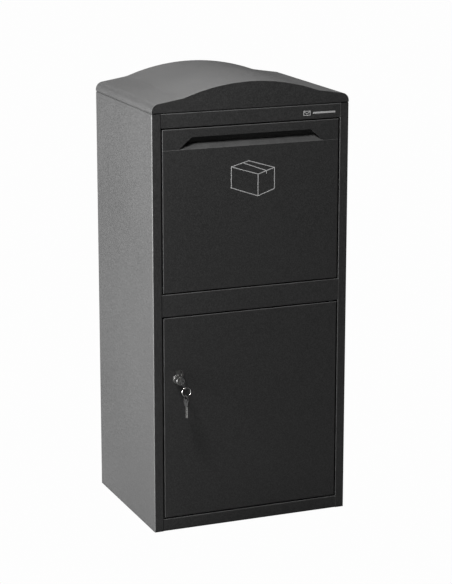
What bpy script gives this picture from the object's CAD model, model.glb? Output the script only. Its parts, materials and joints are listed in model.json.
import json
import math

import bmesh
import bpy
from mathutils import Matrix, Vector


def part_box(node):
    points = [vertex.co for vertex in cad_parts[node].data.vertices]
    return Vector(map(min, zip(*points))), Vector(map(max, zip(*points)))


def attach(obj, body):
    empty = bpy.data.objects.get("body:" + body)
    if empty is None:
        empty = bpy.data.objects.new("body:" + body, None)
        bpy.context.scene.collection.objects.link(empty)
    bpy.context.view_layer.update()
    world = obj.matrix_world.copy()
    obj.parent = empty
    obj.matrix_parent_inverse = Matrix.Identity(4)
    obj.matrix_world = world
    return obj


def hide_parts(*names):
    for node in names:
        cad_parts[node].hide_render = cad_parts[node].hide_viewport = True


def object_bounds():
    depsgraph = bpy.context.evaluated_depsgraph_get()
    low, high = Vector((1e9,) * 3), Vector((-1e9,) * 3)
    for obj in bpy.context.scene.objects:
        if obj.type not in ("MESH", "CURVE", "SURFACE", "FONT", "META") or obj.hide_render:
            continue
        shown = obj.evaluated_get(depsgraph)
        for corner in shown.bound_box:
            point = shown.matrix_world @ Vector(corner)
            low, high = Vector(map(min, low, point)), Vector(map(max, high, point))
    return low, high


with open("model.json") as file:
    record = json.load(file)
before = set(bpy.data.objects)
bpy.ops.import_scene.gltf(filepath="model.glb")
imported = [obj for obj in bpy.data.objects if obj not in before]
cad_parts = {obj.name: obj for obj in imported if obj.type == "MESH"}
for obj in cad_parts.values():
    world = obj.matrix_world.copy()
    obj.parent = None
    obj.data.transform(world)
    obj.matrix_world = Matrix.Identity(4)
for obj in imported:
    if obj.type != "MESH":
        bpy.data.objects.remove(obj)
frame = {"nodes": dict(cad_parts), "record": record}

# Parcel drop box in black fine-texture powder coat, on a pale studio floor. Metres throughout.

MM = 0.001
NODES = frame["nodes"]
SLOTS = {part["node"]: part["material_slot"] for part in frame["record"]["subparts"]}
BODIES = frame["record"]["behaviour"]["bodies"]
BODY_OF = {node: body for body, nodes in BODIES.items() for node in nodes}
CAD_LOW, CAD_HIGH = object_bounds()
SCENE = bpy.context.scene

SEEN_WHITE = 0.985      # brightness of the floor and surroundings as the camera sees them
ROOM_LIGHT = 0.018      # light that the surroundings add
FLOOR_GREY = 0.12       # reflectance of the floor, which lights the box from below


# ---------------------------------------------------------------- camera, floor and light

def aim(obj, target):
    """Turns a camera or light so that it looks at the target."""
    obj.rotation_mode = "QUATERNION"
    obj.rotation_quaternion = (Vector(target) - obj.location).to_track_quat("-Z", "Y")


def make_camera():
    """Camera left of the front and above, level from side to side."""
    frame_height = 584      # pixels
    focal_length = 2072.0   # in the same pixels
    sensor = 36.0           # millimetres, along the frame's longer side
    yaw = 0.3868            # radians to the left of the front
    pitch = 0.2419          # radians down
    distance = 4.386        # along the floor, from the middle of the base
    sideways = 0.0125
    height = 1.547
    data = bpy.data.cameras.new("camera")
    data.sensor_width = sensor
    data.sensor_fit = "AUTO"
    data.lens = focal_length * sensor / frame_height
    camera = bpy.data.objects.new("camera", data)
    SCENE.collection.objects.link(camera)
    across = Vector((math.cos(yaw), -math.sin(yaw), 0.0))
    ahead = Vector((math.sin(yaw), math.cos(yaw), 0.0))
    camera.location = sideways * across - distance * ahead + Vector((0, 0, height))
    aim(camera, camera.location + ahead * math.cos(pitch) - Vector((0, 0, math.sin(pitch))))
    data.clip_start = 0.05
    data.clip_end = 100.0
    SCENE.camera = camera


def area_light(name, place, target, width, height, power):
    """Rectangular softbox."""
    data = bpy.data.lights.new(name, "AREA")
    data.shape = "RECTANGLE"
    data.size = width
    data.size_y = height
    data.energy = power
    light = bpy.data.objects.new(name, data)
    SCENE.collection.objects.link(light)
    light.location = place
    aim(light, target)


def split_by_ray(tree, lit, seen):
    """One shader for light bouncing about and another for what the camera sees."""
    mix = tree.nodes.new("ShaderNodeMixShader")
    path = tree.nodes.new("ShaderNodeLightPath")
    tree.links.new(path.outputs["Is Camera Ray"], mix.inputs["Fac"])
    tree.links.new(lit, mix.inputs[1])
    tree.links.new(seen, mix.inputs[2])
    return mix.outputs["Shader"]


def background(tree, value):
    """Even grey light of the surroundings."""
    node = tree.nodes.new("ShaderNodeBackground")
    node.inputs["Color"].default_value = (value, value, value, 1)
    return node.outputs["Background"]


def make_studio():
    """White sweep with softboxes at the left, overhead and high in front, and a small key light."""
    middle = Vector((0, 0, CAD_HIGH.z / 2))
    left_of_middle = (-0.1, 0, 0.5)
    area_light("left_softbox", (-2.9, 0.4, 0.9), middle,
               width=2.4, height=2.2, power=448.0)
    area_light("top_softbox", (0.0, 1.0, 3.2), (0, 0.1, 0),
               width=2.6, height=1.8, power=132.0)
    area_light("front_softbox", (-1.0, -1.0, 2.2), left_of_middle,
               width=0.5, height=0.35, power=53.0)
    area_light("key_light", (-1.9, -2.3, 1.7), left_of_middle,
               width=0.15, height=0.15, power=2.0)

    world = bpy.data.worlds.new("studio")
    SCENE.world = world
    world.use_nodes = True
    tree = world.node_tree
    tree.nodes.clear()
    output = tree.nodes.new("ShaderNodeOutputWorld")
    lit, seen = background(tree, ROOM_LIGHT), background(tree, SEEN_WHITE)
    tree.links.new(split_by_ray(tree, lit, seen), output.inputs["Surface"])

    half = 14.0
    just_below = 0.2 * MM       # keeps the base pan and the floor from sharing a plane
    mesh = bpy.data.meshes.new("floor")
    corners = [(-half, -half, 0), (half, -half, 0), (half, half, 0), (-half, half, 0)]
    mesh.from_pydata(corners, [], [(0, 1, 2, 3)])
    floor = bpy.data.objects.new("floor", mesh)
    SCENE.collection.objects.link(floor)
    floor.location.z = -just_below
    material = bpy.data.materials.new("floor_paper")
    material.use_nodes = True
    tree = material.node_tree
    shader = tree.nodes["Principled BSDF"]
    shader.inputs["Roughness"].default_value = 0.9
    shader.inputs["Base Color"].default_value = (FLOOR_GREY, FLOOR_GREY, FLOOR_GREY, 1)
    white = tree.nodes.new("ShaderNodeEmission")
    white.inputs["Strength"].default_value = SEEN_WHITE
    tree.links.new(split_by_ray(tree, shader.outputs["BSDF"], white.outputs["Emission"]),
                   tree.nodes["Material Output"].inputs["Surface"])
    mesh.materials.append(material)

    SCENE.view_settings.view_transform = "Standard"
    SCENE.view_settings.look = "None"


# ---------------------------------------------------------------- material helpers

class Graph:
    """Short forms for building one material's node tree."""

    def __init__(self, name):
        self.material = bpy.data.materials.new(name)
        self.material.use_nodes = True
        self.nodes = self.material.node_tree.nodes
        self.links = self.material.node_tree.links
        self.shader = self.nodes["Principled BSDF"]
        self.place = self.nodes.new("ShaderNodeTexCoord").outputs["Object"]

    def link(self, source, target):
        """Joins an output socket to an input socket."""
        self.links.new(source, target)

    def fixed(self, **values):
        """Sets constants on the shader's own sockets."""
        for name, value in values.items():
            self.shader.inputs[name.replace("_", " ")].default_value = value

    def stretched(self, scale):
        """Object coordinates stretched along the axes."""
        mapping = self.nodes.new("ShaderNodeMapping")
        mapping.inputs["Scale"].default_value = scale
        self.link(self.place, mapping.inputs["Vector"])
        return mapping.outputs["Vector"]

    def noise(self, scale, detail=2.0, roughness=0.5, vector=None):
        """Cloudy noise with scale features to the metre."""
        node = self.nodes.new("ShaderNodeTexNoise")
        node.inputs["Scale"].default_value = scale
        node.inputs["Detail"].default_value = detail
        node.inputs["Roughness"].default_value = roughness
        self.link(vector or self.place, node.inputs["Vector"])
        return node.outputs["Fac"]

    def cells(self, scale):
        """Distance and random colour of crystal-like cells, scale of them to the metre."""
        node = self.nodes.new("ShaderNodeTexVoronoi")
        node.inputs["Scale"].default_value = scale
        self.link(self.place, node.inputs["Vector"])
        return node.outputs["Distance"], node.outputs["Color"]

    def remap(self, value, from_low, from_high, to_low, to_high):
        """Stretches one range of a value over another and holds it at the ends."""
        node = self.nodes.new("ShaderNodeMapRange")
        node.inputs["From Min"].default_value = from_low
        node.inputs["From Max"].default_value = from_high
        node.inputs["To Min"].default_value = to_low
        node.inputs["To Max"].default_value = to_high
        self.link(value, node.inputs["Value"])
        return node.outputs["Result"]

    def math(self, operation, first, second):
        """Sum, product or the like of two sockets or numbers."""
        node = self.nodes.new("ShaderNodeMath")
        node.operation = operation
        for socket, value in zip(node.inputs, (first, second)):
            if isinstance(value, (int, float)):
                socket.default_value = value
            else:
                self.link(value, socket)
        return node.outputs["Value"]

    def mix(self, factor, low, high):
        """Colour between two colours or sockets."""
        node = self.nodes.new("ShaderNodeMix")
        node.data_type = "RGBA"
        self.link(factor, node.inputs["Factor"])
        for socket, value in ((node.inputs[6], low), (node.inputs[7], high)):
            if isinstance(value, tuple):
                socket.default_value = value + (1.0,)
            else:
                self.link(value, socket)
        return node.outputs[2]

    def bump(self, height, distance, strength=1.0, normal=None):
        """Relief of the given depth, over an earlier relief if there is one."""
        node = self.nodes.new("ShaderNodeBump")
        node.inputs["Strength"].default_value = strength
        node.inputs["Distance"].default_value = distance
        self.link(height, node.inputs["Height"])
        if normal is not None:
            self.link(normal, node.inputs["Normal"])
        return node.outputs["Normal"]

    def normal_parts(self):
        """The surface normal's X, Y and Z."""
        geometry = self.nodes.new("ShaderNodeNewGeometry")
        split = self.nodes.new("ShaderNodeSeparateXYZ")
        self.link(geometry.outputs["Normal"], split.inputs[0])
        return split.outputs

    def edge_mask(self, radius):
        """1 on sharp convex and concave edges, 0 on flats."""
        blunt = 0.86        # cosine between the true and the rounded normal at an edge
        bevel = self.nodes.new("ShaderNodeBevel")
        bevel.samples = 4
        bevel.inputs["Radius"].default_value = radius
        geometry = self.nodes.new("ShaderNodeNewGeometry")
        dot = self.nodes.new("ShaderNodeVectorMath")
        dot.operation = "DOT_PRODUCT"
        self.link(bevel.outputs["Normal"], dot.inputs[0])
        self.link(geometry.outputs["Normal"], dot.inputs[1])
        return self.remap(dot.outputs["Value"], 1.0, blunt, 0.0, 1.0)

    def fold_mask(self):
        """1 on rounded folds, whose normals point between the axes, and 0 on flat sheet."""
        parts = self.normal_parts()
        sizes = [self.math("ABSOLUTE", parts[axis], 0.0) for axis in "XYZ"]
        largest = self.math("MAXIMUM", self.math("MAXIMUM", sizes[0], sizes[1]), sizes[2])
        off_axis = self.remap(largest, 0.97, 0.86, 0.0, 1.0)
        half_way = self.remap(largest, 0.71, 0.76, 0.5, 1.0)
        return self.math("MULTIPLY", off_axis, half_way)

    def open_mask(self, reach):
        """1 on open surfaces, falling in seams and hollows where grime gathers."""
        node = self.nodes.new("ShaderNodeAmbientOcclusion")
        node.samples = 6
        node.inputs["Distance"].default_value = reach
        return self.remap(node.outputs["AO"], 0.30, 0.72, 0.0, 1.0)

    def upward(self):
        """1 on faces that look up, where dust settles."""
        return self.remap(self.normal_parts()["Z"], 0.7, 1.0, 0.0, 1.0)


def grey(value):
    """A colour without a tint."""
    return (value, value, value)


# ---------------------------------------------------------------- materials

def powder_coat(name, tone, seed, thin_folds=True):
    """Black fine-texture powder coat: tight orange peel, faint mottling, light dust.

    The coat is thin on folds, or only on sharp edges where thin_folds is off, and seams hold grime.
    """
    dust_colour = (0.23, 0.225, 0.215)
    seam_depth = 9.0 * MM
    g = Graph(name)
    shifted = g.nodes.new("ShaderNodeMapping")
    shifted.inputs["Location"].default_value = (seed, seed * 0.37, seed * 0.71)
    g.link(g.place, shifted.inputs["Vector"])
    place = shifted.outputs["Vector"]
    cloud = g.noise(4.0, 3.0, vector=place)
    grain = g.noise(420.0, 2.0, 0.7, vector=place)
    peel = g.noise(900.0, 1.0, vector=place)

    base = g.mix(g.remap(cloud, 0.3, 0.7, 0.0, 1.0), grey(tone * 0.94), grey(tone * 1.06))
    speck = g.mix(g.remap(grain, 0.38, 0.70, 0.0, 1.0), base, grey(tone * 2.1))
    thin = g.fold_mask() if thin_folds else g.edge_mask(0.8 * MM)
    worn = g.math("MULTIPLY", thin, g.remap(g.noise(60.0, 3.0), 0.4, 0.65, 0.6, 0.9))
    edged = g.mix(worn, speck, grey(tone * 5.5))
    settled = g.remap(g.noise(9.0, 5.0, 0.7), 0.35, 0.75, 0.015, 0.04)
    dusty = g.mix(g.math("MULTIPLY", g.upward(), settled), edged, dust_colour)
    grimy = g.mix(g.open_mask(seam_depth), grey(tone * 0.1), dusty)
    g.link(grimy, g.shader.inputs["Base Color"])

    rough = g.math("ADD", g.remap(cloud, 0.3, 0.7, 0.44, 0.48),
                   g.remap(grain, 0.3, 0.7, -0.04, 0.06))
    g.link(rough, g.shader.inputs["Roughness"])
    fine = g.bump(peel, 0.06 * MM, 0.6)
    coarse = g.bump(g.noise(330.0, 2.0, vector=place), 0.4 * MM, 0.55, fine)
    g.link(coarse, g.shader.inputs["Normal"])
    g.fixed(IOR=1.45)
    return g.material


def plated_metal(name, colour, low_rough, high_rough, scratch=0.4):
    """Nickel plate: fine drawn scratches, cloudy roughness, brighter on worn edges."""
    brightest = 0.95
    g = Graph(name)
    cloud = g.noise(180.0, 3.0)
    lines = g.noise(1500.0, 3.0, 0.7, vector=g.stretched((1.0, 0.12, 1.0)))
    dull = tuple(channel * 0.80 for channel in colour)
    bright = tuple(min(channel * 1.25, brightest) for channel in colour)
    tone = g.mix(g.remap(cloud, 0.35, 0.7, 0.0, 0.5), colour, dull)
    worn = g.math("MULTIPLY", g.edge_mask(0.3 * MM), 0.5)
    g.link(g.mix(worn, tone, bright), g.shader.inputs["Base Color"])
    streaks = g.math("ADD", cloud, g.math("MULTIPLY", lines, scratch))
    g.link(g.remap(streaks, 0.4, 0.9, low_rough, high_rough), g.shader.inputs["Roughness"])
    g.link(g.bump(lines, 0.004 * MM, scratch), g.shader.inputs["Normal"])
    g.fixed(Metallic=1.0)
    return g.material


def spangled_zinc(name):
    """Black-passivated zinc plate with a faint crystal pattern."""
    dark_crystal = (0.055, 0.056, 0.060)
    pale_crystal = (0.085, 0.086, 0.088)
    stain_colour = (0.045, 0.042, 0.038)
    g = Graph(name)
    colour = g.cells(420.0)[1]
    facet = g.nodes.new("ShaderNodeRGBToBW")
    g.link(colour, facet.inputs["Color"])
    tint = g.mix(g.remap(facet.outputs["Val"], 0.2, 0.8, 0.0, 1.0), dark_crystal, pale_crystal)
    stain = g.remap(g.noise(70.0, 4.0), 0.5, 0.75, 0.0, 0.5)
    g.link(g.mix(stain, tint, stain_colour), g.shader.inputs["Base Color"])
    g.link(g.remap(g.noise(300.0, 3.0), 0.3, 0.7, 0.28, 0.45), g.shader.inputs["Roughness"])
    g.link(g.bump(g.noise(1200.0, 2.0), 0.01 * MM, 0.4), g.shader.inputs["Normal"])
    g.fixed(Metallic=1.0)
    return g.material


def dark_nylon(name):
    """Black moulded nylon, slightly waxy, with a little wear."""
    g = Graph(name)
    wear = g.remap(g.noise(240.0, 4.0), 0.45, 0.7, 0.0, 0.7)
    g.link(g.mix(wear, grey(0.012), grey(0.022)), g.shader.inputs["Base Color"])
    g.link(g.remap(g.noise(600.0, 2.0), 0.3, 0.7, 0.42, 0.56), g.shader.inputs["Roughness"])
    g.link(g.bump(g.noise(1600.0, 2.0), 0.01 * MM, 0.5), g.shader.inputs["Normal"])
    g.fixed(IOR=1.5)
    return g.material


def soft_rubber(name):
    """Matt black rubber with a dusty bloom."""
    g = Graph(name)
    bloom = g.remap(g.noise(220.0, 4.0, 0.6), 0.4, 0.75, 0.0, 0.5)
    g.link(g.mix(bloom, grey(0.018), (0.06, 0.058, 0.055)), g.shader.inputs["Base Color"])
    g.link(g.remap(g.noise(500.0, 2.0), 0.3, 0.7, 0.7, 0.88), g.shader.inputs["Roughness"])
    g.link(g.bump(g.noise(1100.0, 3.0), 0.04 * MM, 0.6), g.shader.inputs["Normal"])
    g.fixed(IOR=1.5)
    return g.material


def moulded_plastic(name):
    """Black moulded plastic with spark-eroded grain and handling shine."""
    g = Graph(name)
    handled = g.remap(g.noise(160.0, 3.0), 0.35, 0.7, 0.0, 1.0)
    g.link(g.mix(handled, grey(0.005), grey(0.009)), g.shader.inputs["Base Color"])
    g.link(g.remap(handled, 0.0, 1.0, 0.50, 0.36), g.shader.inputs["Roughness"])
    g.link(g.bump(g.cells(1700.0)[0], 0.02 * MM, 0.5), g.shader.inputs["Normal"])
    g.fixed(IOR=1.46)
    return g.material


def screen_ink(name):
    """Pale grey screen-printed ink over the coat's texture, thin in places."""
    g = Graph(name)
    thin = g.remap(g.noise(700.0, 4.0, 0.6), 0.52, 0.72, 0.0, 0.45)
    g.link(g.mix(thin, grey(0.40), grey(0.16)), g.shader.inputs["Base Color"])
    g.link(g.remap(g.noise(300.0, 2.0), 0.3, 0.7, 0.5, 0.66), g.shader.inputs["Roughness"])
    g.link(g.bump(g.noise(1500.0, 1.0), 0.04 * MM, 0.4), g.shader.inputs["Normal"])
    g.fixed(IOR=1.45)
    return g.material


def make_materials():
    """One finish for each material slot of the record."""
    return {
        "cabinet_coat": powder_coat("cabinet_coat_black", 0.018, 0.0),
        "roof_coat": powder_coat("roof_coat_black", 0.018, 3.1, thin_folds=False),
        "hopper_coat": powder_coat("hopper_coat_black", 0.0175, 5.7),
        "door_coat": powder_coat("door_coat_black", 0.0175, 8.3),
        "zinc_steel": spangled_zinc("zinc_plate"),
        "bush_nylon": dark_nylon("black_nylon"),
        "buffer_rubber": soft_rubber("black_rubber"),
        "pale_print": screen_ink("pale_ink"),
        "lock_nickel": plated_metal("lock_nickel_plate", (0.30, 0.30, 0.295), 0.24, 0.34),
        "key_nickel": plated_metal("key_nickel_plate", (0.82, 0.82, 0.80), 0.12, 0.24, 0.6),
        "key_plastic": moulded_plastic("key_black_plastic"),
    }


def finish_cad_nodes(finishes):
    """Gives every CAD node its slot's finish."""
    for name, obj in NODES.items():
        obj.data.materials.clear()
        obj.data.materials.append(finishes[SLOTS[name]])


# ---------------------------------------------------------------- small parts

def round_edges(name, width, segments, angle):
    """Rounds the sharp edges of a CAD node where the real piece is moulded, stamped or domed."""
    bevel = NODES[name].modifiers.new("rounded", "BEVEL")
    bevel.width = width
    bevel.segments = segments
    bevel.limit_method = "ANGLE"
    bevel.angle_limit = math.radians(angle)
    bevel.use_clamp_overlap = True


def round_small_parts():
    """Softens the edges that are moulded, stamped or domed."""
    for name in ("key_bow", "spare_key_bow"):
        round_edges(name, width=0.45 * MM, segments=3, angle=40)
    for name in ("key_blade", "spare_key_blade"):
        round_edges(name, width=0.25 * MM, segments=2, angle=40)
    round_edges("keyhole_cover", width=0.35 * MM, segments=3, angle=40)
    for name in ("hopper_buffers", "door_buffers"):
        round_edges(name, width=1.2 * MM, segments=4, angle=50)
    for name in ("back_panel_screws", "roof_screws", "baffle_screws"):
        round_edges(name, width=0.9 * MM, segments=3, angle=50)
    for name in ("hopper_stop_studs", "hopper_hinge_pins", "door_hinge_pins"):
        round_edges(name, width=0.4 * MM, segments=2, angle=50)


def make_split_ring(finish):
    """Key ring of flattened wire wound twice, whose second turn lies beside the first."""
    low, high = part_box("key_ring")
    centre = (low + high) / 2
    wire = (high.y - low.y) / 2
    radius = (high.x - low.x) / 2 - wire
    turns = 1.94
    start = math.radians(60)
    cross_from, cross_over = 0.86, 0.28     # turns before the wire crosses over, and while it does
    half_gap = wire * 0.48                  # from the ring's middle plane to each turn's middle
    half_thick, half_wide = wire * 0.64, wire * 0.46    # of the wire, outward and along the axis
    steps = 150
    sides = 14
    bm = bmesh.new()
    rings = []
    for step in range(steps + 1):
        share = step / steps
        angle = turns * 2 * math.pi * share + start
        shift = min(max((share * turns - cross_from) / cross_over, 0.0), 1.0)
        beside = half_gap * (2 * shift * shift * (3 - 2 * shift) - 1)
        outward = Vector((math.cos(angle), 0, math.sin(angle)))
        core = centre + radius * outward + Vector((0, beside, 0))
        section = []
        for side in range(sides):
            turn = 2 * math.pi * side / sides
            rim = outward * half_thick * math.sin(turn) + Vector((0, half_wide * math.cos(turn), 0))
            section.append(bm.verts.new(core + rim))
        rings.append(section)
    for first, second in zip(rings, rings[1:]):
        for side in range(sides):
            after = (side + 1) % sides
            bm.faces.new((first[side], first[after], second[after], second[side]))
    bm.faces.new(rings[0][::-1])
    bm.faces.new(rings[-1])
    bmesh.ops.recalc_face_normals(bm, faces=bm.faces)
    for face in bm.faces:
        face.smooth = len(face.verts) == 4
    mesh = bpy.data.meshes.new("split_key_ring")
    bm.to_mesh(mesh)
    bm.free()
    mesh.materials.append(finish)
    ring = bpy.data.objects.new("split_key_ring", mesh)
    SCENE.collection.objects.link(ring)
    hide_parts("key_ring")
    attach(ring, BODY_OF["key_ring"])


make_camera()
make_studio()
FINISHES = make_materials()
finish_cad_nodes(FINISHES)
round_small_parts()
make_split_ring(FINISHES[SLOTS["key_ring"]])
